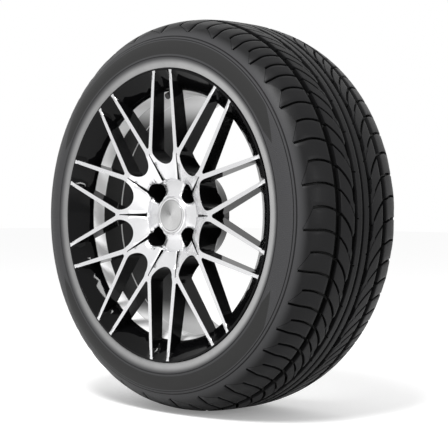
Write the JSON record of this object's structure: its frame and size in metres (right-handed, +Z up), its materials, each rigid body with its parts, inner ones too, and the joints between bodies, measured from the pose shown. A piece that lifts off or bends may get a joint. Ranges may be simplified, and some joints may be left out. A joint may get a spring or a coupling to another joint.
{
  "type": "car wheel with tyre",
  "caption": "Low-profile road tyre with a directional tread, mounted on a forked-spoke alloy wheel with a centre cap and a snap-in valve.",
  "frame": {"origin": "centre of the tyre, on the wheel's spin axis", "axes": "+Y along the spin axis towards the car, so the wheel's outer face looks along -Y; +Z up"},
  "size_m": [0.643, 0.2386, 0.6428],
  "materials": {
    "tyre_rubber": "matt moulded rubber",
    "wheel_alloy": "machined face, gloss black pockets and barrel",
    "cap_plastic": "silver lacquer",
    "cap_metal": "spun",
    "spring_steel": "bright",
    "valve_rubber": "matt",
    "valve_brass": "turned",
    "valve_cap_plastic": "matt"
  },
  "bodies": {
    "root": {"tyre": "tyre_rubber", "wheel": "wheel_alloy", "centre_cap": "cap_plastic", "cap_disc": "cap_metal", "cap_spring_ring": "spring_steel", "valve_stem": "valve_rubber", "valve_tube": "valve_brass", "valve_core": "valve_brass", "valve_spring": "spring_steel"},
    "valve_pin_body": {"valve_pin": "valve_brass", "valve_pin_seal": "valve_rubber"},
    "valve_cap_lift": {"valve_cap_seal": "valve_rubber"},
    "valve_cap_turn": {"valve_cap": "valve_cap_plastic"}
  },
  "joints": [
    {"name": "valve_press", "type": "slide", "parent": "root", "child": "valve_pin_body", "axis": [0, 0.8671, 0.4982], "range_m": [0, 0.0015], "stiffness_N_per_m": 400, "springref_m": -0.002, "deforming": ["valve_spring"]},
    {"name": "cap_lift", "type": "slide", "parent": "root", "child": "valve_cap_lift", "axis": [0, -0.8671, -0.4982], "range_m": [0, 0.00555]},
    {"name": "cap_unscrew", "type": "hinge", "parent": "valve_cap_lift", "child": "valve_cap_turn", "pos_m": [0, -0.0731, 0.20983], "axis": [0, -0.8671, -0.4982], "range_deg": [0, 2520]}
  ],
  "couplings": [
    {"joint": "cap_unscrew", "follows": "cap_lift", "rad_per_m": 7913.3}
  ]
}
